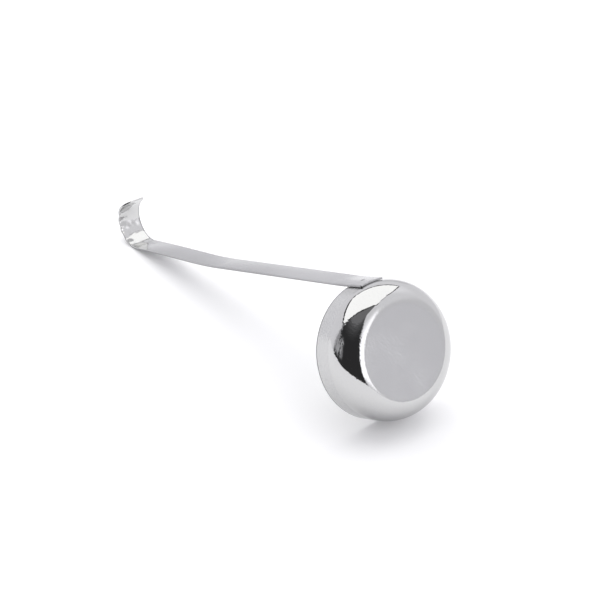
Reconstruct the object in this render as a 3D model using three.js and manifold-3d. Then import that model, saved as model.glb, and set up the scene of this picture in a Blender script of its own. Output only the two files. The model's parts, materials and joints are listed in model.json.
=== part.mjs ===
// A candle maker's small wax ladle: a shallow drawn bowl with a strip handle that is spot
// welded along the outside of its wall and curls into a hanging hook at the far end.
// The ladle lies on its side on a table: the rim's edge and the back of the hook both
// touch it. Millimetres, +Z up, the flat base of the bowl looks along +X and a little up.

import * as THREE from 'three';
import { mergeVertices } from 'three/addons/utils/BufferGeometryUtils.js';
import Module from 'manifold-3d';

// Bowl
const RIM_RADIUS = 25;
const BOWL_DEPTH = 18.3;
const WALL_LENGTH = 8.6; // straight wall, from the rim to where the shoulder starts
const BASE_RADIUS = 17.2; // flat disc inside the shoulder
const SHOULDER_FULLNESS = 1.92; // 2 is a quarter ellipse, less is flatter
const SHEET = 0.7;

// Strip handle
const STRIP_WIDTH = 10;
const STRIP_THICKNESS = 0.7;
const LAP = 8.8; // how far the strip runs along the wall from the rim
const LAP_GAP = 0.06; // between the strip and the wall it is welded to
const FRONT_CORNER_RADII = [0.6, 0.6];
const TIP_CORNER_RADII = [1, 4.4]; // on the +Y side, on the -Y side
const TIP_LENGTH = 3.3; // straight, past the hook's curl
const HOOK_INSIDE_RADIUS = 8.9;

// The strip's side view behind the rim: lengths in mm, turns in degrees away from the bowl's axis
const RUNS = [
  { length: 1.2, turn: 0 },
  { length: 10, turn: 3.3 },
  { length: 72.7, turn: 0 },
  { length: 18.7, turn: 4.1 },
  { length: 21.4, turn: 0 },
  { length: 20, turn: -2.1 },
  { length: 2.6, turn: 0 },
];
const HOOK_TURN = 150;

// Spot weld
const NUGGET_RADIUS = 1.5;
const NUGGET_LENGTH = 0.7; // half in the wall, half in the strip
const NUGGET_CLEARANCE = 0.05;
const DIMPLE_RADIUS = 0.65;
const DIMPLE_DEPTH = 0.16;
const WELD_FROM_FRONT = 5.2;

// Facets
const ROUND_SEGMENTS = 48;
const SHOULDER_STEPS = 9;
const EDGE_STEPS = 4;
const BEND_STEP = 1.4; // degrees of turn in one step of a slight bend
const HOOK_STEP = 8;

const wasm = await Module();
wasm.setup();

const degrees = THREE.MathUtils.degToRad;

function solidOf(geometry) {
  const bare = geometry.clone();
  bare.deleteAttribute('normal');
  bare.deleteAttribute('uv');
  const merged = mergeVertices(bare, 1e-5);
  return new wasm.Manifold(new wasm.Mesh({
    numProp: 3,
    vertProperties: new Float32Array(merged.attributes.position.array),
    triVerts: new Uint32Array(merged.index.array),
  }));
}

function geometryOf(solid) {
  const mesh = solid.getMesh();
  const geometry = new THREE.BufferGeometry();
  geometry.setAttribute('position', new THREE.BufferAttribute(mesh.vertProperties, 3));
  geometry.setIndex(new THREE.BufferAttribute(mesh.triVerts, 1));
  geometry.computeVertexNormals();
  return geometry;
}

// Revolved about the bowl's axis, which is x here. A flat of the faceted wall looks along
// +z, and the flats, not the corners, lie at the true radius.
function turned(profile) {
  const geometry = new THREE.LatheGeometry(profile, ROUND_SEGMENTS, Math.PI / ROUND_SEGMENTS);
  const corner = 1 / Math.cos(Math.PI / ROUND_SEGMENTS);
  geometry.scale(corner, 1, corner);
  geometry.rotateZ(-Math.PI / 2);
  return geometry;
}

// Points from the start of the shoulder to the edge of the flat base, for a wall surface
// that lies `inset` inside the outer one.
function shoulderPoints(inset) {
  const points = [];
  const tall = BOWL_DEPTH - inset - WALL_LENGTH;
  const wide = RIM_RADIUS - BASE_RADIUS - inset * 0.5;
  for (let i = 0; i <= SHOULDER_STEPS; i += 1) {
    const a = (i / SHOULDER_STEPS) * Math.PI / 2;
    const along = WALL_LENGTH + tall * Math.sin(a) ** (2 / SHOULDER_FULLNESS);
    const inward = wide * (1 - Math.cos(a) ** (2 / SHOULDER_FULLNESS));
    points.push(new THREE.Vector2(RIM_RADIUS - inset - inward, along));
  }
  return points;
}

function rimEdgePoints() {
  const half = SHEET / 2;
  const points = [];
  for (let i = 0; i <= EDGE_STEPS; i += 1) {
    const a = (i / EDGE_STEPS) * Math.PI;
    points.push(new THREE.Vector2(
      RIM_RADIUS - half - half * Math.cos(a),
      half - half * Math.sin(a),
    ));
  }
  return points;
}

function weldPlace() {
  return { x: LAP - WELD_FROM_FRONT, z: RIM_RADIUS + LAP_GAP / 2 };
}

// A short cylinder across the joint between wall and strip
function nuggetGeometry(clearance) {
  const place = weldPlace();
  const geometry = new THREE.CylinderGeometry(
    NUGGET_RADIUS + clearance, NUGGET_RADIUS + clearance, NUGGET_LENGTH + 2 * clearance, 24,
  );
  geometry.rotateX(Math.PI / 2);
  geometry.translate(place.x, 0, place.z);
  return geometry;
}

function bowlGeometry() {
  const inside = shoulderPoints(SHEET).reverse();
  const outside = shoulderPoints(0);
  const profile = [
    new THREE.Vector2(0, BOWL_DEPTH - SHEET),
    ...inside,
    ...rimEdgePoints(),
    ...outside,
    new THREE.Vector2(0, BOWL_DEPTH),
  ];
  const shell = solidOf(turned(profile));
  return geometryOf(shell.subtract(solidOf(nuggetGeometry(NUGGET_CLEARANCE))));
}

// Walks the strip's middle line from its front end, over the rim and round the hook.
// heading is the turn away from the bowl's axis, in radians.
function stripLine() {
  const runs = [{ length: LAP, turn: 0 }, ...RUNS];
  const hookRadius = HOOK_INSIDE_RADIUS + STRIP_THICKNESS / 2;
  runs.push({ length: hookRadius * degrees(HOOK_TURN), turn: HOOK_TURN, hook: true });
  runs.push({ length: TIP_LENGTH, turn: 0 });
  const at = {
    x: LAP,
    z: RIM_RADIUS + LAP_GAP + STRIP_THICKNESS / 2,
    heading: 0,
  };
  const points = [{ ...at }];
  let hookCentre = null;
  for (const run of runs) {
    if (run.hook) {
      hookCentre = new THREE.Vector2(
        at.x + hookRadius * Math.sin(at.heading),
        at.z + hookRadius * Math.cos(at.heading),
      );
    }
    const step = run.hook ? HOOK_STEP : BEND_STEP;
    const count = Math.max(1, Math.ceil(Math.abs(run.turn) / step));
    const turn = degrees(run.turn) / count;
    const chord = run.turn === 0
      ? run.length
      : (2 * run.length / degrees(run.turn)) * Math.sin(turn / 2);
    for (let i = 0; i < count; i += 1) {
      at.x -= chord * Math.cos(at.heading + turn / 2);
      at.z += chord * Math.sin(at.heading + turn / 2);
      at.heading += turn;
      points.push({ ...at });
    }
  }
  return { points, hookCentre };
}

function stripOutline(points) {
  const half = STRIP_THICKNESS / 2;
  const side = (sign) => points.map((p) => new THREE.Vector2(
    p.x + sign * half * Math.sin(p.heading),
    p.z + sign * half * Math.cos(p.heading),
  ));
  return new THREE.Shape([...side(1), ...side(-1).reverse()]);
}

// The waste cut from one corner of a strip end. The end is the line y = 0, the strip lies
// below it, and its edge is at x = STRIP_WIDTH / 2.
function cornerWaste(radius) {
  const edge = STRIP_WIDTH / 2;
  const shape = new THREE.Shape();
  shape.moveTo(edge - radius, 1);
  shape.lineTo(edge - radius, 0);
  shape.absarc(edge - radius, -radius, radius, Math.PI / 2, 0, true);
  shape.lineTo(edge + 1, -radius);
  shape.lineTo(edge + 1, 1);
  const geometry = new THREE.ExtrudeGeometry(shape, {
    depth: STRIP_THICKNESS + 2,
    bevelEnabled: false,
    curveSegments: 6,
  });
  geometry.translate(0, 0, -STRIP_THICKNESS / 2 - 1);
  return geometry;
}

// Both corners of one strip end: `onward` is the way the strip points as it ends, and
// radii holds the +Y corner's radius and the -Y corner's.
function roundedEnd(strip, point, onward, radii) {
  const across = new THREE.Vector3(0, 1, 0);
  const up = new THREE.Vector3().crossVectors(across, onward);
  let result = strip;
  for (const [index, hand] of [1, -1].entries()) {
    const place = new THREE.Matrix4().makeBasis(
      across.clone().multiplyScalar(hand),
      onward,
      up.clone().multiplyScalar(hand),
    );
    place.setPosition(point.x, 0, point.z);
    result = result.subtract(solidOf(cornerWaste(radii[index]).applyMatrix4(place)));
  }
  return result;
}

function weldDimpleGeometry() {
  const ball = (DIMPLE_RADIUS ** 2 + DIMPLE_DEPTH ** 2) / (2 * DIMPLE_DEPTH);
  const top = RIM_RADIUS + LAP_GAP + STRIP_THICKNESS;
  const geometry = new THREE.SphereGeometry(ball, 32, 24);
  geometry.rotateX(Math.PI / 2);
  geometry.translate(weldPlace().x, 0, top + ball - DIMPLE_DEPTH);
  return geometry;
}

function handleGeometry(points) {
  const geometry = new THREE.ExtrudeGeometry(stripOutline(points), {
    depth: STRIP_WIDTH,
    bevelEnabled: false,
  });
  geometry.rotateX(Math.PI / 2);
  geometry.translate(0, STRIP_WIDTH / 2, 0);
  const tip = points[points.length - 1];
  const tipOnward = new THREE.Vector3(-Math.cos(tip.heading), 0, Math.sin(tip.heading));
  let strip = solidOf(geometry);
  strip = roundedEnd(strip, points[0], new THREE.Vector3(1, 0, 0), FRONT_CORNER_RADII);
  strip = roundedEnd(strip, tip, tipOnward, TIP_CORNER_RADII);
  strip = strip.subtract(solidOf(nuggetGeometry(NUGGET_CLEARANCE)));
  return geometryOf(strip.subtract(solidOf(weldDimpleGeometry())));
}

// The tilt at which the rounded rim edge and the back of the hook touch one level table
function restTilt(hookCentre) {
  const rimEdge = SHEET / 2;
  const hookBack = HOOK_INSIDE_RADIUS + STRIP_THICKNESS;
  const dx = hookCentre.x - rimEdge;
  const dz = hookCentre.y + RIM_RADIUS - rimEdge;
  const apart = Math.acos((hookBack - rimEdge) / Math.hypot(dx, dz));
  return Math.PI / 2 + apart - Math.atan2(dz, dx);
}

function piece(name, geometry, color, roughness) {
  const material = new THREE.MeshStandardMaterial({ color, roughness, metalness: 1 });
  const mesh = new THREE.Mesh(geometry, material);
  mesh.name = name;
  return mesh;
}

const { points, hookCentre } = stripLine();
const ladle = new THREE.Group();
ladle.add(piece('bowl', bowlGeometry(), 0xc9cbcc, 0.18));
ladle.add(piece('handle_strap', handleGeometry(points), 0xb9bbbd, 0.32));
ladle.add(piece('weld_nugget', nuggetGeometry(0), 0x8f9193, 0.5));
ladle.rotation.y = -restTilt(hookCentre);

const onTable = new THREE.Group();
onTable.add(ladle);
onTable.updateMatrixWorld(true);
const box = new THREE.Box3().setFromObject(ladle, true);
const middle = box.getCenter(new THREE.Vector3());
ladle.position.set(-middle.x, -middle.y, -box.min.z);

export default onTable;
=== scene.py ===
# %% [markdown]
# # A small wax ladle
# This ladle is what a candle maker dips melted wax with: a shallow bowl drawn from thin
# stainless sheet, and a strip handle that is spot welded to the bowl's wall and curled
# into a hanging hook. Three pieces, no moving ones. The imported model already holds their
# sizes and places, so the first step opens it and everything below is built around it.

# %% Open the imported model
import json
import math

import bmesh
import bpy
from mathutils import Matrix, Vector


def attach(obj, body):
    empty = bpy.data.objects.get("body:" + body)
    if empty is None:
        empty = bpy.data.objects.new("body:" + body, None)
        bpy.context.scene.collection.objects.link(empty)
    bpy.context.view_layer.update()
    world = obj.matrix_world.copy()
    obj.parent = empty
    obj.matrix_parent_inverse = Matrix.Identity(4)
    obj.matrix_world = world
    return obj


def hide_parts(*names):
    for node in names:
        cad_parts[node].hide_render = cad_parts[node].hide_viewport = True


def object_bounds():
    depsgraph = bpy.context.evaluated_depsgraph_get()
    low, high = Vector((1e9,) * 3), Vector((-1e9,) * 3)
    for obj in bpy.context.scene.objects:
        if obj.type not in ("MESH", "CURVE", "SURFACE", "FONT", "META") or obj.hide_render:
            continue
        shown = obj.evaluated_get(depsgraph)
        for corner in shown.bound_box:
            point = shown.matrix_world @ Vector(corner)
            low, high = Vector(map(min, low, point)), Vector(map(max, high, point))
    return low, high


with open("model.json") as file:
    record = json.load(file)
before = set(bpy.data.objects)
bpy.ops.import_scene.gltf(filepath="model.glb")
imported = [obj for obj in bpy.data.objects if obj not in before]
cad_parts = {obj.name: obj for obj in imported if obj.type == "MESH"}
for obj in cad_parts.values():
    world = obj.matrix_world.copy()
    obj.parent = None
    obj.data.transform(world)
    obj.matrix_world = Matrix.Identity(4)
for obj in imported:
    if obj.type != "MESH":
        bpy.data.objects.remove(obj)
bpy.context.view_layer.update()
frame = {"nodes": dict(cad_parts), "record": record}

MM = 0.001
print("packed nodes:", sorted(frame["nodes"]))

# %% [markdown]
# ## The ladle's own axes
# The ladle lies tilted on the table, because the hook and the rim both touch it. It is far
# easier to make each piece straight, with the bowl's axis along X and the handle's side
# up, and to turn the finished mesh into place last. The flat base is a mount in the
# record, so its place and direction give that turn exactly.

# %% Work out where the ladle lies
BOWL_DEPTH = 18.3 * MM

base_mount = frame["record"]["mounts"][0]
base_centre = Vector(base_mount["pos_m"])
bowl_axis = Vector(base_mount["axis"]).normalized()
rim_centre = base_centre - bowl_axis * BOWL_DEPTH
tilt = math.atan2(bowl_axis.z, bowl_axis.x)
ladle_place = Matrix.Translation(rim_centre) @ Matrix.Rotation(-tilt, 4, "Y")
print("tilt", round(math.degrees(tilt), 2), "rim centre", [round(v, 4) for v in rim_centre])


def is_closed(mesh):
    """True where every edge has a face on both its sides."""
    uses = {}
    for polygon in mesh.polygons:
        for key in polygon.edge_keys:
            uses[key] = uses.get(key, 0) + 1
    return all(count == 2 for count in uses.values())


def finish_piece(name, bm, node, material):
    """Turn a mesh made on the ladle's own axes into place, as a smooth-shaded object."""
    bmesh.ops.transform(bm, matrix=ladle_place, verts=bm.verts)
    for face in bm.faces:
        face.smooth = True
    mesh = bpy.data.meshes.new(name)
    bm.to_mesh(mesh)
    bm.free()
    piece = bpy.data.objects.new(name, mesh)
    bpy.context.collection.objects.link(piece)
    mesh.materials.append(material)
    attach(piece, "root")
    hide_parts(node)
    print(name, "faces", len(mesh.polygons), "closed", is_closed(mesh))
    return piece


# %% [markdown]
# ## Node helpers
# Every finish here is a small network of nodes. These short helpers keep the cells below
# about the metal and not about sockets. Two of them add a node and join two sockets. The
# rest make what the finishes use again and again: a sum, a distance, a soft step from one
# level to another, a noise, a bump and one colour laid over another.

# %% Short ways to add nodes
def add(tree, kind, values=None, **settings):
    node = tree.nodes.new(kind)
    for key, value in settings.items():
        setattr(node, key, value)
    for key, value in (values or {}).items():
        node.inputs[key].default_value = value
    return node


def join(tree, source, target):
    tree.links.new(source, target)


def math_node(tree, operation, first, second=None, third=None):
    node = add(tree, "ShaderNodeMath", operation=operation)
    for socket, value in zip(node.inputs, (first, second, third)):
        if value is None:
            continue
        if isinstance(value, (int, float)):
            socket.default_value = value
        else:
            join(tree, value, socket)
    return node.outputs[0]


def raised(tree, base, mask, amount):
    """base, with amount added where mask is 1."""
    return math_node(tree, "MULTIPLY_ADD", mask, amount, base)


def distance(tree, first, second):
    """The long side of a right-angled triangle with these two short sides."""
    squares = [math_node(tree, "POWER", side, 2.0) for side in (first, second)]
    return math_node(tree, "SQRT", math_node(tree, "ADD", *squares))


def step_node(tree, value, start, end, low=0.0, high=1.0):
    node = add(tree, "ShaderNodeMapRange", interpolation_type="SMOOTHSTEP")
    join(tree, value, node.inputs["Value"])
    node.inputs["From Min"].default_value = start
    node.inputs["From Max"].default_value = end
    node.inputs["To Min"].default_value = low
    node.inputs["To Max"].default_value = high
    return node.outputs["Result"]


# %% Short ways to add patterns
def split_parts(tree, vector):
    split = add(tree, "ShaderNodeSeparateXYZ")
    join(tree, vector, split.inputs[0])
    return split.outputs[:]


def stretched(tree, vector, scale):
    mapping = add(tree, "ShaderNodeMapping", {"Scale": scale})
    join(tree, vector, mapping.inputs["Vector"])
    return mapping.outputs[0]


def noise_on(tree, vector, values):
    """A noise read at these coordinates, from 0 to 1 and mostly near a half."""
    noise = add(tree, "ShaderNodeTexNoise", values)
    join(tree, vector, noise.inputs["Vector"])
    return noise.outputs["Fac"]


def bump_on(tree, height, depth, strength=1.0, over=None):
    """A bump, which can lie over an earlier bump's normal."""
    bump = add(tree, "ShaderNodeBump", {"Strength": strength, "Distance": depth})
    join(tree, height, bump.inputs["Height"])
    if over:
        join(tree, over, bump.inputs["Normal"])
    return bump.outputs["Normal"]


def mixed_tint(tree, first, second, mask):
    """One colour over another; the first may be a colour or a socket."""
    mix = add(tree, "ShaderNodeMix", data_type="RGBA")
    if isinstance(first, tuple):
        mix.inputs["A"].default_value = first
    else:
        join(tree, first, mix.inputs["A"])
    mix.inputs["B"].default_value = second
    join(tree, mask, mix.inputs["Factor"])
    return mix.outputs["Result"]


# %% Short ways to make and place a group
def group_with(name, inputs, outputs):
    """A shader node group with float or vector sockets; returns it with its two ends."""
    group = bpy.data.node_groups.new(name, "ShaderNodeTree")
    for label, kind, value in inputs:
        socket = group.interface.new_socket(label, in_out="INPUT", socket_type=kind)
        if kind == "NodeSocketFloat":
            socket.default_value = value
    for label, kind in outputs:
        group.interface.new_socket(label, in_out="OUTPUT", socket_type=kind)
    return group, group.nodes.new("NodeGroupInput"), group.nodes.new("NodeGroupOutput")


def placed_group(tree, group, vector, **values):
    node = add(tree, "ShaderNodeGroup", node_tree=group)
    join(tree, vector, node.inputs["Vector"])
    for key, value in values.items():
        node.inputs[key].default_value = value
    return node


# %% [markdown]
# ## Wear that the metals share
# Thin stainless is never quite even. Wiping and stacking leave hairline scratches that run
# every way, and handling leaves soft patches that are a little duller. Both are made once
# as groups: a scratch is a very stretched noise that is cut off near its top, and a patch
# is a broad noise.

# %% Make the scratches and the handling marks
SCRATCH_ANGLES = (0.35, 1.3, 2.4)
SCRATCH_STRETCH = (0.03, 1.0, 1.0)
SCRATCH_CUT = (0.66, 0.74)
PATCH_CUT = (0.42, 0.7)


def make_scratches():
    group, start, end = group_with(
        "Hairline scratches",
        [("Vector", "NodeSocketVector", None), ("Scale", "NodeSocketFloat", 900.0),
         ("Amount", "NodeSocketFloat", 0.3)],
        [("Height", "NodeSocketFloat"), ("Mask", "NodeSocketFloat")],
    )
    lines = 0.0
    for angle in SCRATCH_ANGLES:
        turn = add(group, "ShaderNodeMapping",
                   {"Rotation": (angle, angle * 0.7, angle), "Scale": SCRATCH_STRETCH})
        join(group, start.outputs["Vector"], turn.inputs["Vector"])
        noise = add(group, "ShaderNodeTexNoise", {"Detail": 1.0, "Roughness": 0.4})
        join(group, turn.outputs[0], noise.inputs["Vector"])
        join(group, start.outputs["Scale"], noise.inputs["Scale"])
        lines = math_node(group, "MAXIMUM", lines, step_node(group, noise.outputs["Fac"], *SCRATCH_CUT))
    mask = math_node(group, "MULTIPLY", lines, start.outputs["Amount"])
    join(group, mask, end.inputs["Mask"])
    join(group, math_node(group, "SUBTRACT", 1.0, mask), end.inputs["Height"])
    return group


def make_handling():
    group, start, end = group_with(
        "Handling marks",
        [("Vector", "NodeSocketVector", None), ("Scale", "NodeSocketFloat", 60.0),
         ("Dull", "NodeSocketFloat", 0.1)],
        [("Roughness", "NodeSocketFloat"), ("Mask", "NodeSocketFloat")],
    )
    noise = add(group, "ShaderNodeTexNoise", {"Detail": 4.0, "Roughness": 0.6, "Distortion": 0.4})
    join(group, start.outputs["Vector"], noise.inputs["Vector"])
    join(group, start.outputs["Scale"], noise.inputs["Scale"])
    patch = step_node(group, noise.outputs["Fac"], *PATCH_CUT)
    join(group, patch, end.inputs["Mask"])
    join(group, math_node(group, "MULTIPLY", patch, start.outputs["Dull"]), end.inputs["Roughness"])
    return group


scratches = make_scratches()
handling = make_handling()
print("groups:", [group.name for group in bpy.data.node_groups])

# %% [markdown]
# ## Metals on the ladle's own axes
# A pattern that rings the bowl has to be read on the bowl's own axes, and the finished
# meshes lie tilted. A Mapping node set to Texture turns Object coordinates back. Every
# metal starts from the same shader, with its Metallic at 1.

# %% Start a metal
def ladle_coordinates(tree):
    """Object coordinates seen from the bowl's own axes, with the rim's centre at zero."""
    coordinates = add(tree, "ShaderNodeTexCoord")
    mapping = add(tree, "ShaderNodeMapping", vector_type="TEXTURE")
    mapping.inputs["Location"].default_value = rim_centre
    mapping.inputs["Rotation"].default_value = (0, -tilt, 0)
    join(tree, coordinates.outputs["Object"], mapping.inputs["Vector"])
    return mapping.outputs[0]


def new_metal(name):
    material = bpy.data.materials.new(name)
    material.use_nodes = True
    tree = material.node_tree
    shader = tree.nodes["Principled BSDF"]
    shader.inputs["Metallic"].default_value = 1.0
    return material, tree, shader


# %% [markdown]
# ## Where the bowl's finish changes
# The bowl is drawn in a press and then buffed while it turns. The shoulder comes out almost
# a mirror. The flat base, which lay on the press's punch, and the straight wall keep a finer
# satin, and the cut edge of the rim is dull, with its colour darkened as a painted dark
# reflection. Distance from the axis and depth along it are enough to tell these apart, so
# each is a soft step on one of those two.

# %% Mark out the bowl
SHEET = 0.7 * MM
BASE_RADIUS = 17.2 * MM
WALL_LENGTH = 8.6 * MM
DISC_SPREAD = 0.9 * MM
DISC_EDGE_SOFTNESS = 1.4 * MM
DISC_DEPTHS = (BOWL_DEPTH - 1.2 * MM, BOWL_DEPTH - 0.2 * MM)
POLISH_FROM = 8.2 * MM
POLISH_SOFTNESS = 1.2 * MM
RIM_DEPTHS = (SHEET * 1.15, SHEET * 0.8)


def bowl_regions(tree, place):
    """Masks of the base's disc, the wall and the rim's edge, and the way across the rings."""
    depth, aside, up = split_parts(tree, place)
    radius = distance(tree, aside, up)
    within = step_node(tree, radius, BASE_RADIUS + DISC_SPREAD, BASE_RADIUS - DISC_EDGE_SOFTNESS)
    disc = math_node(tree, "MULTIPLY", within, step_node(tree, depth, *DISC_DEPTHS))
    wall = step_node(tree, depth, POLISH_FROM, POLISH_FROM - POLISH_SOFTNESS)
    rim = step_node(tree, depth, *RIM_DEPTHS)
    across_rings = add(tree, "ShaderNodeCombineXYZ")
    join(tree, math_node(tree, "ADD", radius, depth), across_rings.inputs["X"])
    return disc, wall, rim, across_rings.outputs[0]


# %% [markdown]
# ## Polished bowl metal
# A real polish is never one number. Roughness rises on the satin parts, in the scratches
# and at the rim. The colour is mottled a little by the wall's fine grain. Three bumps lie
# on each other: a slow ripple from drawing, a fine grain, and the buffing's rings with the
# scratches. The satin parts also scatter a little light evenly, so they aren't fully metallic.

# %% Choose the bowl's finish
STEEL_TINT = (0.655, 0.655, 0.65, 1.0)
GRIT_TINT = (0.53, 0.53, 0.535, 1.0)
HANDLED_TINT = (0.61, 0.61, 0.615, 1.0)
DISC_TINT = (0.605, 0.605, 0.61, 1.0)
# painted dark reflection: the colour of the rounded rim edge is darkened
RIM_PAINTED_REFLECTION_TINT = (0.17, 0.17, 0.175, 1.0)
GRIT = {"Scale": 2000.0, "Detail": 2.0, "Roughness": 0.7}
GRIT_CUT = (0.4, 0.68)
GRIT_AMOUNT = 0.16
WALL_GRIT_EXTRA = 0.65
HANDLED_AMOUNT = 0.5

MIRROR_ROUGHNESS = 0.045
SATIN_ROUGHNESS = 0.16
SCRATCH_ROUGHNESS = 0.08
RIM_ROUGHNESS = 0.2
SATIN_METALLIC = 0.9

RIPPLE = {"Scale": 260.0, "Detail": 2.0}
RIPPLE_DEPTH = 0.03 * MM
PEEL = {"Scale": 1500.0, "Detail": 0.5}
PEEL_DEPTH = 0.015 * MM
PEEL_EVERYWHERE = 0.6
PEEL_IN_MARKS = 2.2
RINGS = {"Scale": 5200.0, "Detail": 3.0, "Roughness": 0.7}
RING_DEPTH = 0.004 * MM
print("roughness from", MIRROR_ROUGHNESS, "on the shoulder to", SATIN_ROUGHNESS, "on the wall")


# %% Mix the bowl's finish
def bowl_roughness(tree, satin, rim, lines, marks):
    roughness = math_node(tree, "ADD", MIRROR_ROUGHNESS, marks.outputs["Roughness"])
    roughness = raised(tree, roughness, satin, SATIN_ROUGHNESS - MIRROR_ROUGHNESS)
    roughness = raised(tree, roughness, lines.outputs["Mask"], SCRATCH_ROUGHNESS)
    return raised(tree, roughness, rim, RIM_ROUGHNESS)


def bowl_tint(tree, place, disc, wall, rim, marks):
    grit = step_node(tree, noise_on(tree, place, GRIT), *GRIT_CUT)
    mottle = math_node(tree, "MULTIPLY", raised(tree, GRIT_AMOUNT, wall, WALL_GRIT_EXTRA), grit)
    handled = math_node(tree, "MULTIPLY", marks.outputs["Mask"], HANDLED_AMOUNT)
    tint = STEEL_TINT
    for over, mask in ((GRIT_TINT, mottle), (HANDLED_TINT, handled), (DISC_TINT, disc),
                       (RIM_PAINTED_REFLECTION_TINT, rim)):
        tint = mixed_tint(tree, tint, over, mask)
    return tint


def bowl_bumps(tree, place, across_rings, lines, marks):
    ripple = bump_on(tree, noise_on(tree, place, RIPPLE), RIPPLE_DEPTH, strength=0.35)
    patchy = raised(tree, PEEL_EVERYWHERE, marks.outputs["Mask"], PEEL_IN_MARKS)
    peel = math_node(tree, "MULTIPLY", noise_on(tree, place, PEEL), patchy)
    peeled = bump_on(tree, peel, PEEL_DEPTH, over=ripple)
    fine = math_node(tree, "ADD", noise_on(tree, across_rings, RINGS), lines.outputs["Height"])
    return bump_on(tree, fine, RING_DEPTH, strength=0.25, over=peeled)


def make_bowl_metal():
    material, tree, shader = new_metal("polished bowl steel")
    place = ladle_coordinates(tree)
    disc, wall, rim, across_rings = bowl_regions(tree, place)
    satin = math_node(tree, "MAXIMUM", disc, wall)
    lines = placed_group(tree, scratches, place, Scale=700.0, Amount=0.12)
    marks = placed_group(tree, handling, place, Scale=75.0, Dull=0.03)
    join(tree, bowl_tint(tree, place, disc, wall, rim, marks), shader.inputs["Base Color"])
    join(tree, bowl_roughness(tree, satin, rim, lines, marks), shader.inputs["Roughness"])
    join(tree, raised(tree, 1.0, satin, SATIN_METALLIC - 1.0), shader.inputs["Metallic"])
    join(tree, bowl_bumps(tree, place, across_rings, lines, marks), shader.inputs["Normal"])
    return material


bowl_metal = make_bowl_metal()
print(bowl_metal.name, "has", len(bowl_metal.node_tree.nodes), "nodes")

# %% [markdown]
# ## The bowl
# A drawn bowl is one sheet with the same thickness everywhere: straight wall, round
# shoulder, flat base, and a rim edge that is rounded by tumbling. Its section is a short
# curve, so the section is drawn once and spun round the axis. The shoulder is close to a
# quarter ellipse, and a power a little under 2 makes it meet the base in a clear ring.

# %% Spin the bowl
RIM_RADIUS = 25 * MM
SHOULDER_FULLNESS = 1.92
SHOULDER_STEPS = 44
WALL_STEPS = 10
BASE_STEPS = 12
RIM_STEPS = 8
SPIN_STEPS = 208
MERGE_WITHIN = 0.002 * MM


def shoulder_section(inset):
    """(along, out) points from the end of the wall to the edge of the flat base."""
    tall = BOWL_DEPTH - inset - WALL_LENGTH
    wide = RIM_RADIUS - BASE_RADIUS - inset / 2  # inside, the flat base is a little smaller
    points = []
    for i in range(SHOULDER_STEPS + 1):
        a = i / SHOULDER_STEPS * math.pi / 2
        along = WALL_LENGTH + tall * math.sin(a) ** (2 / SHOULDER_FULLNESS)
        inward = wide * (1 - max(math.cos(a), 0) ** (2 / SHOULDER_FULLNESS))
        points.append((along, RIM_RADIUS - inset - inward))
    return points


def skin_section(inset):
    """The whole of one skin, from just past the rounded rim to the axis."""
    half = SHEET / 2
    shoulder = shoulder_section(inset)
    wall = [(half + (WALL_LENGTH - half) * i / WALL_STEPS, RIM_RADIUS - inset)
            for i in range(WALL_STEPS)]
    last_along, last_out = shoulder[-1]
    base = [(last_along, last_out * (1 - i / BASE_STEPS)) for i in range(1, BASE_STEPS + 1)]
    return wall + shoulder + base


def rim_section():
    half = SHEET / 2
    points = []
    for i in range(1, RIM_STEPS):
        a = i / RIM_STEPS * math.pi
        points.append((half - half * math.sin(a), RIM_RADIUS - half - half * math.cos(a)))
    return points


def make_bowl():
    section = skin_section(SHEET)[::-1] + rim_section() + skin_section(0.0)
    bm = bmesh.new()
    verts = [bm.verts.new((along, 0, out)) for along, out in section]
    edges = [bm.edges.new(pair) for pair in zip(verts, verts[1:])]
    bmesh.ops.spin(bm, geom=verts + edges, cent=(0, 0, 0), axis=(1, 0, 0), dvec=(0, 0, 0),
                   angle=math.tau, steps=SPIN_STEPS, use_merge=True)
    bmesh.ops.remove_doubles(bm, verts=bm.verts, dist=MERGE_WITHIN)
    bmesh.ops.recalc_face_normals(bm, faces=bm.faces)
    return finish_piece("bowl_shell", bm, "bowl", bowl_metal)


bowl = make_bowl()

# %% [markdown]
# ## Where the strip's finish changes
# The handle is cut from ready-rolled strip and gets its finish while it is flat, so every
# pattern has to follow the bends. The mesh's own UV map does that: it is laid out on the
# flat blank, one unit to the metre, with zero at the bowl's rim. A painted darker reflection
# dims the colour along the middle of the handle. Bending has rubbed the hook bright, the side
# edges are darker, and so is the colour round the weld's dimple.

# %% Mark out the strip
STRIP_WIDTH = 10 * MM
HOOK_FROM = -146.6 * MM
HOOK_RUBBED = (HOOK_FROM + 6 * MM, HOOK_FROM - 2 * MM)
# painted shade: the colour is darker along the middle of the handle, for a darker reflection there
MIDDLE_SHADE_STARTS = (-28 * MM, -66 * MM)
MIDDLE_SHADE_ENDS = (-104 * MM, -80 * MM)
# the colour is darker at the strip's side edges
EDGE_DARK_BAND = (STRIP_WIDTH * 0.49, STRIP_WIDTH * 0.5)
WELD_X = 3.6 * MM  # from the bowl's rim towards its base
DIMPLE_RADIUS = 0.9 * MM
# the colour is darker in a ring round the weld's dimple
WELD_DARK_RING = (DIMPLE_RADIUS * 1.15, DIMPLE_RADIUS * 0.5, 0.0, 0.75)  # outer, inner, and how much


def strip_regions(tree, flat):
    """Masks of the painted darker middle, the hook, the darker side edges and the weld's darker ring.
    """
    along, aside = split_parts(tree, flat)[:2]
    middle_shade = math_node(tree, "MULTIPLY", step_node(tree, along, *MIDDLE_SHADE_STARTS),
                     step_node(tree, along, *MIDDLE_SHADE_ENDS))
    hook = step_node(tree, along, *HOOK_RUBBED)
    dark_edges = step_node(tree, math_node(tree, "ABSOLUTE", aside), *EDGE_DARK_BAND)
    from_weld = distance(tree, math_node(tree, "SUBTRACT", along, WELD_X), aside)
    return middle_shade, hook, dark_edges, step_node(tree, from_weld, *WELD_DARK_RING)
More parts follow.
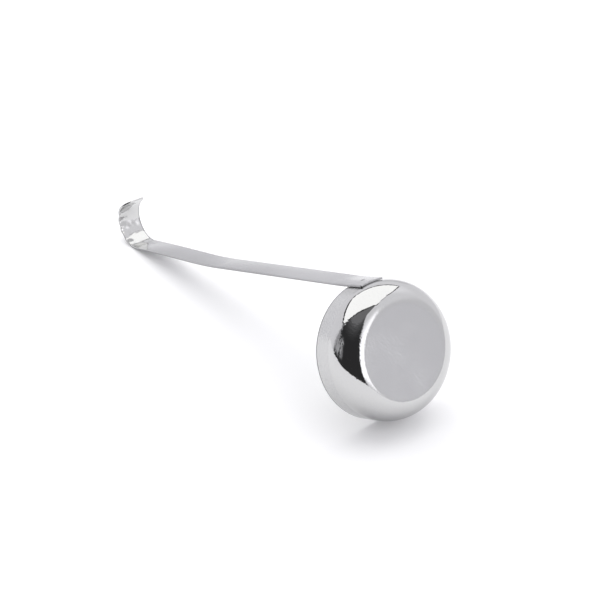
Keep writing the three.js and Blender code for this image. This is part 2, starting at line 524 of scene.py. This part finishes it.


# %% [markdown]
# ## Strip metal
# The rolled finish is a noise that is stretched along the strip. A dull rolled film scatters
# a little light evenly, so the strip's Metallic stays below 1 until the hook. The hook also has
# soft waves, because curling it with pliers never leaves a quite even curve.

# %% Mix the strip's finish
STRIP_TINT = (0.53, 0.53, 0.535, 1.0)
GRAIN_TINT = (0.48, 0.48, 0.49, 1.0)
# painted darker reflection along the middle of the handle
MIDDLE_SHADE_TINT = (0.405, 0.405, 0.412, 1.0)
HOOK_TINT = (0.66, 0.66, 0.655, 1.0)
# darker colour at the side edges
EDGE_DARK_TINT = (0.33, 0.33, 0.335, 1.0)
# darker colour round the weld's dimple
WELD_DARK_TINT = (0.27, 0.26, 0.25, 1.0)
STRIP_ROUGHNESS = 0.12
STRIP_METALLIC = 0.82
GRAIN = {"Scale": 2600.0, "Detail": 4.0, "Roughness": 0.75}
GRAIN_STRETCH = (0.22, 1.0, 1.0)
GRAIN_CUT = (0.35, 0.7)
GRAIN_STREAKS = (0.3, 0.7, -0.02, 0.04)  # its low and high, and the roughness they add
GRAIN_DEPTH = 0.008 * MM
WAVES = {"Scale": 270.0, "Detail": 1.0}
WAVE_DEPTH = 0.22 * MM


def strip_tint(tree, grain, masks):
    tint = mixed_tint(tree, STRIP_TINT, GRAIN_TINT, step_node(tree, grain, *GRAIN_CUT))
    for over, mask in zip((MIDDLE_SHADE_TINT, HOOK_TINT, EDGE_DARK_TINT, WELD_DARK_TINT), masks):
        tint = mixed_tint(tree, tint, over, mask)
    return tint


def strip_bumps(tree, place, hook, grain, lines):
    waves = math_node(tree, "MULTIPLY", noise_on(tree, place, WAVES), hook)
    wavy = bump_on(tree, waves, WAVE_DEPTH)
    fine = math_node(tree, "ADD", grain, lines.outputs["Height"])
    return bump_on(tree, fine, GRAIN_DEPTH, strength=0.3, over=wavy)


def make_strip_metal():
    material, tree, shader = new_metal("satin strip steel")
    flat = add(tree, "ShaderNodeUVMap", uv_map="flat strip").outputs[0]
    masks = strip_regions(tree, flat)
    hook = masks[1]
    grain = noise_on(tree, stretched(tree, flat, GRAIN_STRETCH), GRAIN)
    place = ladle_coordinates(tree)
    lines = placed_group(tree, scratches, place, Scale=600.0, Amount=0.5)
    marks = placed_group(tree, handling, place, Scale=110.0, Dull=0.04)
    roughness = math_node(tree, "ADD", STRIP_ROUGHNESS, marks.outputs["Roughness"])
    streaks = step_node(tree, grain, *GRAIN_STREAKS)
    join(tree, math_node(tree, "ADD", roughness, streaks), shader.inputs["Roughness"])
    join(tree, strip_tint(tree, grain, masks), shader.inputs["Base Color"])
    join(tree, raised(tree, STRIP_METALLIC, hook, 1.0 - STRIP_METALLIC), shader.inputs["Metallic"])
    join(tree, strip_bumps(tree, place, hook, grain, lines), shader.inputs["Normal"])
    return material


strip_metal = make_strip_metal()
print(strip_metal.name, "has", len(strip_metal.node_tree.nodes), "nodes")

# %% [markdown]
# ## The strip handle, cut flat
# A smith would cut the strip to length, round its ends, ease its edges, strike the weld
# and only then bend it. The mesh is made in the same order, because rounding an end is
# simple on a flat blank and hard on a curled one. First come the outline and thickness.

# %% Cut and ease the blank
STRIP_THICKNESS = 0.7 * MM
LAP = 8.8 * MM
LAP_GAP = 0.06 * MM
FRONT_CORNER = 0.6 * MM
TIP_CORNERS = (1.0 * MM, 4.4 * MM)  # on the +Y side, on the -Y side
TIP_LENGTH = 3.3 * MM
CORNER_SEGMENTS = 12
EASED_EDGE = 0.13 * MM
EASED_SEGMENTS = 3
HOOK_INSIDE = 8.9 * MM
STRIP_MIDDLE = RIM_RADIUS + LAP_GAP + STRIP_THICKNESS / 2
HOOK_TURN = math.radians(150)
HOOK_LENGTH = (HOOK_INSIDE + STRIP_THICKNESS / 2) * HOOK_TURN
NEAR = 0.0001 * MM

# length in metres, turn in radians away from the bowl's axis, number of small steps
BENDS = [
    (LAP + 1.2 * MM, 0.0, 1),
    (10.0 * MM, math.radians(3.3), 10),
    (72.7 * MM, 0.0, 1),
    (18.7 * MM, math.radians(4.1), 12),
    (21.4 * MM, 0.0, 1),
    (20.0 * MM, math.radians(-2.1), 10),
    (2.6 * MM, 0.0, 1),
    (HOOK_LENGTH, HOOK_TURN, 72),
    (TIP_LENGTH, 0.0, 1),
]
STRIP_LENGTH = sum(length for length, _, _ in BENDS)
print("strip length mm", round(STRIP_LENGTH / MM, 1))


def flat_sheet(width, depth):
    """A bmesh of one flat face, in metres."""
    bm = bmesh.new()
    bmesh.ops.create_grid(bm, x_segments=1, y_segments=1, size=0.5)
    bmesh.ops.scale(bm, vec=(width, depth, 1), verts=bm.verts)
    return bm


def cut_blank():
    bm = flat_sheet(STRIP_LENGTH, STRIP_WIDTH)
    bmesh.ops.translate(bm, vec=(LAP - STRIP_LENGTH / 2, 0, STRIP_MIDDLE - STRIP_THICKNESS / 2),
                        verts=bm.verts)
    corner_radii = ((1, 1, FRONT_CORNER), (1, -1, FRONT_CORNER),
                    (-1, 1, TIP_CORNERS[0]), (-1, -1, TIP_CORNERS[1]))
    for along, across, radius in corner_radii:
        corner = max(bm.verts, key=lambda v: v.co.x * along + v.co.y * across)
        bmesh.ops.bevel(bm, geom=[corner], offset=radius, segments=CORNER_SEGMENTS, profile=0.5,
                        affect="VERTICES", material=-1, offset_type="OFFSET")
    lifted = bmesh.ops.extrude_face_region(bm, geom=bm.faces[:])
    top = [v for v in lifted["geom"] if isinstance(v, bmesh.types.BMVert)]
    bmesh.ops.translate(bm, vec=(0, 0, STRIP_THICKNESS), verts=top)
    bmesh.ops.recalc_face_normals(bm, faces=bm.faces)
    rims = [e for e in bm.edges if abs(e.verts[0].co.z - e.verts[1].co.z) < NEAR]
    bmesh.ops.bevel(bm, geom=rims, offset=EASED_EDGE, segments=EASED_SEGMENTS, profile=0.5,
                    affect="EDGES", material=-1, offset_type="OFFSET")
    return bm


def slice_across(bm, co, normal):
    everything = bm.verts[:] + bm.edges[:] + bm.faces[:]
    bmesh.ops.bisect_plane(bm, geom=everything, plane_co=co, plane_no=normal, dist=1e-8)


blank = cut_blank()
print("blank faces", len(blank.faces))

# %% [markdown]
# ## Crown and lap
# Rolled strip keeps a slight crown across its width, which shows as a soft shade from one
# edge to the other. On the wall the welder's clamp presses the strip down over the round,
# so its edges close up to the wall there. Both are one curve across the strip.
# It drops with the square of the distance from the middle line, strongly over the lap and
# slightly along the handle, and it is gone where the hook starts.

# %% Press the strip to shape
CROWN_DROP = 0.11 * MM
CROWN_FADE = 16 * MM
LAP_DROP = 0.36 * MM
LAP_FADE = 9 * MM
LAP_CUTS = 14
LAP_CUT_SPACING = 1.3 * MM
CROWN_CUTS = 5
CROWN_CUT_SPACING = 4 * MM


def eased(share):
    """A soft step from 0 to 1, flat at both ends."""
    share = min(max(share, 0.0), 1.0)
    return share * share * (3 - 2 * share)


def slice_for_pressing(bm):
    """Lines along the strip for its crown, and across it where the crown and lap change."""
    for tenth in range(-4, 5):
        slice_across(bm, (0, tenth * STRIP_WIDTH / 10, 0), (0, 1, 0))
    for cut in range(1, LAP_CUTS + 1):
        slice_across(bm, (LAP - cut * LAP_CUT_SPACING, 0, 0), (1, 0, 0))
    for cut in range(CROWN_CUTS):
        slice_across(bm, (HOOK_FROM + cut * CROWN_CUT_SPACING, 0, 0), (1, 0, 0))


def press_strip(bm):
    for vert in bm.verts:
        on_lap = eased((vert.co.x + LAP_FADE) / LAP_FADE)
        before_hook = eased((vert.co.x - HOOK_FROM) / CROWN_FADE)
        drop = CROWN_DROP * before_hook + (LAP_DROP - CROWN_DROP) * on_lap
        vert.co.z -= drop * (vert.co.y / (STRIP_WIDTH / 2)) ** 2


slice_for_pressing(blank)
press_strip(blank)
print("pressed faces", len(blank.faces))

# %% [markdown]
# ## The weld's dimple
# The welding electrode leaves a small round dimple in the strip's top face. The strip is
# sliced finely round it, and the top face is pressed down by a smooth round hollow with a
# low lip, so that the dimple catches light as a shape and not as a painted dot.

# %% Strike the weld
DIMPLE_DEPTH = 0.2 * MM
DIMPLE_FULLNESS = 1.2
DIMPLE_LIP = 0.025 * MM
DIMPLE_CUTS = 16

# in dimple radii: the finely sliced square, and the lip's place, width and end
SLICED_SQUARE = 1.5
LIP_AT, LIP_WIDTH, LIP_END = 1.05, 0.15, 1.45


def slice_for_dimple(bm):
    half = DIMPLE_RADIUS * SLICED_SQUARE
    for cut in range(DIMPLE_CUTS + 1):
        aside = (2 * cut / DIMPLE_CUTS - 1) * half
        slice_across(bm, (WELD_X + aside, 0, 0), (1, 0, 0))
        slice_across(bm, (0, aside, 0), (0, 1, 0))


def strike_weld(bm):
    struck = 0
    for vert in bm.verts:
        reach = math.hypot(vert.co.x - WELD_X, vert.co.y) / DIMPLE_RADIUS
        if vert.co.z < STRIP_MIDDLE or reach > LIP_END:
            continue
        if reach < 1:
            vert.co.z -= DIMPLE_DEPTH * (1 - reach ** 2) ** DIMPLE_FULLNESS
        vert.co.z += DIMPLE_LIP * math.exp(-((reach - LIP_AT) / LIP_WIDTH) ** 2)
        struck += 1
    print("dimple points", struck)


slice_for_dimple(blank)
strike_weld(blank)

# %% [markdown]
# ## Plier dents
# A hook that is curled with round-nosed pliers keeps a few shallow dents where the jaws
# gripped it, all at the edge that was nearest the hand. Each is a rounded wave along the
# strip that dies away towards the middle, pushed in towards the inside of the curl.

# %% Choose the dents
DENT_FIRST = -149.6 * MM  # along the flat strip, from the bowl's rim
DENT_SPACING = 4.4 * MM
DENT_COUNT = 4
DENT_DEPTH = 0.5 * MM
DENT_REACH = 2.0 * MM


def dent_edge(bm):
    """Lift the flat strip's -Y edge in waves, which the bend turns towards the inside."""
    for vert in bm.verts:
        turns = (DENT_FIRST - vert.co.x) / DENT_SPACING
        if not 0 < turns < DENT_COUNT:
            continue
        wave = 0.5 - 0.5 * math.cos(math.tau * turns)
        from_edge = vert.co.y + STRIP_WIDTH / 2
        vert.co.z += DENT_DEPTH * wave * math.exp(-from_edge / DENT_REACH)


print("dents end at mm", round((DENT_FIRST - DENT_COUNT * DENT_SPACING) / MM, 1))

# %% [markdown]
# ## Bend the strip
# Bending turns everything beyond a line about that line. The blank is first sliced across
# at each line, and the flat UV map is laid on while it still is flat. Then one walk along
# the strip turns the rest a little at each line: half of the turn with the line's own
# points and half without them, so that they end up square to the bend.

# %% Slice, map and bend
def bend_lines():
    """Each line's distance from the strip's front end and its turn."""
    lines = []
    start = 0.0
    for length, turn, steps in BENDS:
        if turn:
            for i in range(steps + 1):
                share = 0.5 if i in (0, steps) else 1.0
                lines.append((start + length * i / steps, turn / steps * share))
        start += length
    return lines


def lay_flat_map(bm):
    """Each point's place along and across the strip, with the edges unrolled by height."""
    layer = bm.loops.layers.uv.new("flat strip")
    for face in bm.faces:
        for loop in face.loops:
            x, y, z = loop.vert.co
            loop[layer].uv = (x, y + (z - STRIP_MIDDLE))


def bend_strip(bm):
    lines = bend_lines()
    for line_at, _ in lines[:-1]:
        slice_across(bm, (LAP - line_at, 0, 0), (1, 0, 0))
    lay_flat_map(bm)
    dent_edge(bm)
    along = {vert: LAP - vert.co.x for vert in bm.verts}
    pivot = Vector((LAP, 0, STRIP_MIDDLE))
    heading = 0.0
    last = 0.0
    for line_at, turn in lines:
        pivot += (line_at - last) * Vector((-math.cos(heading), 0, math.sin(heading)))
        for nearest in (-NEAR, NEAR):
            beyond = [v for v in bm.verts if along[v] > line_at + nearest]
            bmesh.ops.rotate(bm, cent=pivot, matrix=Matrix.Rotation(turn / 2, 3, "Y"),
                             verts=beyond)
        heading += turn
        last = line_at
    print("hook ends at", round(math.degrees(heading), 1), "degrees")


bend_strip(blank)
strap = finish_piece("strip_handle", blank, "handle_strap", strip_metal)
steady = strap.modifiers.new("even shading", "WEIGHTED_NORMAL")
steady.keep_sharp = True

# %% [markdown]
# ## Weld metal
# The fused button of the weld sits between the wall and the strip, and only its edge can
# be seen in the thin gap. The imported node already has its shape, so it keeps it and gets a
# dull, slightly straw-coloured steel, the tint that heat leaves.

# %% Mix the weld's finish
WELD_TINT = (0.46, 0.43, 0.38, 1.0)
SCALE_TINT = (0.30, 0.27, 0.25, 1.0)
WELD_ROUGHNESS = 0.4


def make_weld_metal():
    material, tree, shader = new_metal("weld button steel")
    marks = placed_group(tree, handling, ladle_coordinates(tree), Scale=900.0, Dull=0.2)
    tint = mixed_tint(tree, WELD_TINT, SCALE_TINT, marks.outputs["Mask"])
    join(tree, tint, shader.inputs["Base Color"])
    rough = math_node(tree, "ADD", WELD_ROUGHNESS, marks.outputs["Roughness"])
    join(tree, rough, shader.inputs["Roughness"])
    return material


nugget = bpy.data.objects["weld_nugget"]
nugget.data.materials.clear()
nugget.data.materials.append(make_weld_metal())
print(nugget.name, "faces", len(nugget.data.polygons))

# %% [markdown]
# ## The table
# The ladle lies on a plain white sheet of card. The card is matt and isn't part of the
# ladle. It is lit until it is just white, and the camera sees it a little brighter still,
# as a studio print does, so that only the shadows stay grey.
# It ends 27 cm in front of the bowl and 42 cm behind it, where the room begins.

# %% Short ways to set a stage
def heading_vector(azimuth, elevation=0.0):
    """A direction by its compass angle from +X towards +Y and its height, in degrees."""
    a = math.radians(azimuth)
    e = math.radians(elevation)
    return Vector((math.cos(e) * math.cos(a), math.cos(e) * math.sin(a), math.sin(e)))


def stage_object(name, bm, material):
    mesh = bpy.data.meshes.new(name)
    bm.to_mesh(mesh)
    bm.free()
    mesh.materials.append(material)
    thing = bpy.data.objects.new(name, mesh)
    bpy.context.collection.objects.link(thing)
    return thing


# %% Lay the table
CARD_COLOUR = (0.88, 0.88, 0.885, 1.0)
PRINT_LIFT = 0.13
SHEET_WIDTH = 3.2
SHEET_FRONT = 0.27
SHEET_BACK = 0.42
SHEET_FACES = -45
SHEET_GAP = 0.02 * MM
bowl_foot = Vector((rim_centre.x + BOWL_DEPTH / 2, 0, 0))


def card_material():
    material = bpy.data.materials.new("white card")
    material.use_nodes = True
    tree = material.node_tree
    shader = tree.nodes["Principled BSDF"]
    shader.inputs["Base Color"].default_value = CARD_COLOUR
    shader.inputs["Roughness"].default_value = 1.0
    shader.inputs["Specular IOR Level"].default_value = 0.0
    shader.inputs["Emission Color"].default_value = (1.0, 1.0, 1.0, 1.0)
    seen = add(tree, "ShaderNodeLightPath")
    lift = math_node(tree, "MULTIPLY", seen.outputs["Is Camera Ray"], PRINT_LIFT)
    join(tree, lift, shader.inputs["Emission Strength"])
    return material


def lay_sheet():
    bm = flat_sheet(SHEET_FRONT + SHEET_BACK, SHEET_WIDTH)
    bmesh.ops.rotate(bm, matrix=Matrix.Rotation(math.radians(SHEET_FACES), 3, "Z"), verts=bm.verts)
    middle = bowl_foot + heading_vector(SHEET_FACES) * (SHEET_FRONT - SHEET_BACK) / 2
    middle.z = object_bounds()[0][2] - SHEET_GAP
    bmesh.ops.translate(bm, vec=middle, verts=bm.verts)
    stage_object("white_sheet", bm, card_material())
    print("sheet's middle at", [round(v, 3) for v in middle])


lay_sheet()

# %% [markdown]
# ## The studio
# Polished metal shows the room more than itself, so the room is part of the look. A large,
# nearly square softbox hangs overhead and behind, turned by 45 degrees. Its dark housing draws a
# line round its reflection, which is fine on the two near sides and wider on the far ones.
# Two lamps share its place: one is seen in the metal, and the other only adds light.

# %% Hang the softbox
SOFTBOX_HEIGHT = 1.0
SOFTBOX_LEVEL = 1.36
HIDDEN_LEVEL = 1.34
SOFTBOX_TURN = 45
SOFTBOX_ALONG = (-1.20, 0.573)  # its span, in units of its height
SOFTBOX_ACROSS = (-0.113, 1.45)
HOUSING_EDGE = 0.045
HOUSING_FAR = 0.22
HOUSING_ABOVE = 0.01
CLOTH_COLOUR = (0.02, 0.02, 0.02, 1.0)

softbox_width = (SOFTBOX_ALONG[1] - SOFTBOX_ALONG[0]) * SOFTBOX_HEIGHT
softbox_depth = (SOFTBOX_ACROSS[1] - SOFTBOX_ACROSS[0]) * SOFTBOX_HEIGHT
softbox_axes = Matrix.Rotation(math.radians(SOFTBOX_TURN), 4, "Z")
softbox_middle = Vector((sum(SOFTBOX_ALONG) / 2, sum(SOFTBOX_ACROSS) / 2, 1)) * SOFTBOX_HEIGHT
softbox_place = Matrix.Translation(bowl_foot + softbox_axes @ softbox_middle) @ softbox_axes


def hang_lamp(name, level, mirrored):
    light = bpy.data.lights.new(name, "AREA")
    light.shape = "RECTANGLE"
    light.size = softbox_width
    light.size_y = softbox_depth
    light.energy = level * math.pi * softbox_width * softbox_depth
    lamp = bpy.data.objects.new(name, light)
    bpy.context.collection.objects.link(lamp)
    lamp.matrix_world = softbox_place
    lamp.visible_camera = False
    lamp.visible_glossy = mirrored


def hang_housing():
    black = bpy.data.materials.new("black cloth")
    black.use_nodes = True
    black.node_tree.nodes["Principled BSDF"].inputs["Base Color"].default_value = CLOTH_COLOUR
    border = HOUSING_EDGE + HOUSING_FAR
    bm = flat_sheet(softbox_width + border, softbox_depth + border)
    aside = (HOUSING_FAR - HOUSING_EDGE) / 2
    shift = Matrix.Translation((-aside, aside, HOUSING_ABOVE))
    bmesh.ops.transform(bm, matrix=softbox_place @ shift, verts=bm.verts)
    housing = stage_object("softbox_housing", bm, black)
    housing.visible_camera = False
    housing.visible_shadow = False


hang_lamp("softbox", SOFTBOX_LEVEL, True)
hang_lamp("softbox spill", HIDDEN_LEVEL, False)
hang_housing()
print("softbox", round(softbox_width, 2), "by", round(softbox_depth, 2))

# %% [markdown]
# ## The room's walls
# The walls are only ever seen in the metal, so they are painted into the world by compass
# angle and height angle. Each feature is a window in those two angles with soft edges: pale
# walls that are a little duller low down, a dark side behind the camera that gives the
# shoulder its black crescent, a pale folded stand that shows as a streak in that dark, and
# a tall white panel at the side. The camera itself is shown plain white, so the ladle
# stands on white from every side.

# %% Lay out the room
WALL_COLOUR = (0.985, 0.98, 1.02, 1.0)
WALL_LEVEL = 0.9
AMBIENT_LEVEL = 0.42
BACKDROP_LEVEL = 1.2

# degrees: compass middle, half width, low edge, high edge, soft sides, soft top and bottom;
# then the level it is painted with, and for two of them the level it turns to higher up
LOW_WALL, LOW_WALL_LEVEL = (44, 22, -90, 22, 16, 20), 0.76
SIDE_FLOOR, SIDE_FLOOR_LEVEL = (150, 32, -30, 1, 10, 5), 0.84
SKIRTING, SKIRTING_LEVEL = (144, 21, 1, 10, 8, 5), 0.7
HIGH_WALL, HIGH_WALL_LEVEL = (110, 30, 30, 90, 30, 25), 1.08
DARK_SIDE, DARK_LEVEL, DARK_HIGH_LEVEL = (-65, 63, -90, 86, 9, 8), 0.035, 0.22
DARK_CEILING, DARK_CEILING_LEVEL = (-47, 87, 60, 88, 12, 5), 0.2
STAND, STAND_LEVEL = (-113, 20, 4, 29, 8, 8), 0.5
PANEL, PANEL_LEVEL, PANEL_HIGH_LEVEL = (11, 16, 1, 54, 8, 6), 1.7, 0.85

DARK_LIFTS = (36.0, 84.0)
PANEL_FADES = (20.0, 48.0)
FOLDS = {"Scale": 1.6, "Detail": 3.0, "Roughness": 0.6}
FOLD_STRETCH = (11.0, 11.0, 1.6)
FOLD_CUT = (0.4, 0.54)


def compass_and_height(tree, direction):
    """The two angles of a direction, in degrees."""
    x, y, z = split_parts(tree, direction)
    azimuth = math_node(tree, "DEGREES", math_node(tree, "ARCTAN2", y, x))
    return azimuth, math_node(tree, "DEGREES", math_node(tree, "ARCSINE", z))


def window(tree, angles, middle, half_width, low, high, feather, feather_up):
    """1 inside a window of compass and height angles, fading over each feather."""
    azimuth, elevation = angles
    away = math_node(tree, "WRAP", math_node(tree, "SUBTRACT", azimuth, middle), 180.0, -180.0)
    across = step_node(tree, math_node(tree, "ABSOLUTE", away),
                       half_width + feather / 2, half_width - feather / 2)
    above = step_node(tree, elevation, low - feather_up / 2, low + feather_up / 2)
    below = step_node(tree, elevation, high + feather_up / 2, high - feather_up / 2)
    return math_node(tree, "MULTIPLY", across, math_node(tree, "MULTIPLY", above, below))


def painted(tree, level, mask, value):
    """level, with value painted over it where mask is 1."""
    keep = math_node(tree, "MULTIPLY", level, math_node(tree, "SUBTRACT", 1.0, mask))
    return math_node(tree, "ADD", keep, math_node(tree, "MULTIPLY", mask, value))


# %% Paint the room
def room_level(tree, direction):
    """How bright the room is in each direction, painted feature by feature."""
    angles = compass_and_height(tree, direction)
    elevation = angles[1]
    gloom = step_node(tree, elevation, *DARK_LIFTS, DARK_LEVEL, DARK_HIGH_LEVEL)
    fading = step_node(tree, elevation, *PANEL_FADES, PANEL_LEVEL, PANEL_HIGH_LEVEL)
    folds = noise_on(tree, stretched(tree, direction, FOLD_STRETCH), FOLDS)
    level = WALL_LEVEL
    for place, value in ((LOW_WALL, LOW_WALL_LEVEL), (SIDE_FLOOR, SIDE_FLOOR_LEVEL),
                         (SKIRTING, SKIRTING_LEVEL), (HIGH_WALL, HIGH_WALL_LEVEL),
                         (DARK_SIDE, gloom), (DARK_CEILING, DARK_CEILING_LEVEL)):
        level = painted(tree, level, window(tree, angles, *place), value)
    folded = math_node(tree, "MULTIPLY", window(tree, angles, *STAND),
                       step_node(tree, folds, *FOLD_CUT))
    level = painted(tree, level, folded, STAND_LEVEL)
    return painted(tree, level, window(tree, angles, *PANEL), fading)


def paint_room():
    world = bpy.data.worlds.new("studio room")
    bpy.context.scene.world = world
    world.use_nodes = True
    tree = world.node_tree
    direction = add(tree, "ShaderNodeTexCoord").outputs["Generated"]
    seen = add(tree, "ShaderNodeLightPath")
    strength = raised(tree, room_level(tree, direction), seen.outputs["Is Diffuse Ray"],
                      AMBIENT_LEVEL)
    background = tree.nodes["Background"]
    background.inputs["Color"].default_value = WALL_COLOUR
    join(tree, strength, background.inputs["Strength"])
    plain = add(tree, "ShaderNodeBackground", {"Color": (1, 1, 1, 1), "Strength": BACKDROP_LEVEL})
    choose = add(tree, "ShaderNodeMixShader")
    join(tree, seen.outputs["Is Camera Ray"], choose.inputs[0])
    join(tree, background.outputs[0], choose.inputs[1])
    join(tree, plain.outputs[0], choose.inputs[2])
    join(tree, choose.outputs[0], tree.nodes["World Output"].inputs["Surface"])
    print("room painted with", len(tree.nodes), "nodes")


paint_room()

# %% [markdown]
# ## The camera
# A long lens from a little above, on the side of the bowl's base, keeps the strip's long run
# from shrinking too fast. It is set by its place, its compass and height angles and a
# slight roll.

# %% Set the camera
CAMERA_AZIMUTH = -37.2124
CAMERA_ELEVATION = 30.4813
CAMERA_ROLL = -0.4774
CAMERA_LENS = 111.366
CAMERA_SENSOR = 36
CAMERA_PLACE = Vector((0.497577, -0.358410, 0.371881))


def make_camera():
    data = bpy.data.cameras.new("view")
    data.lens = CAMERA_LENS
    data.sensor_width = CAMERA_SENSOR
    camera = bpy.data.objects.new("view", data)
    bpy.context.collection.objects.link(camera)
    forward = -heading_vector(CAMERA_AZIMUTH, CAMERA_ELEVATION)
    turn = forward.to_track_quat("-Z", "Y").to_matrix()
    turn = turn @ Matrix.Rotation(math.radians(CAMERA_ROLL), 3, "Z")
    camera.matrix_world = Matrix.Translation(CAMERA_PLACE) @ turn.to_4x4()
    bpy.context.scene.camera = camera


make_camera()
bpy.context.scene.view_settings.view_transform = "Standard"
print("camera at", [round(v, 3) for v in CAMERA_PLACE])
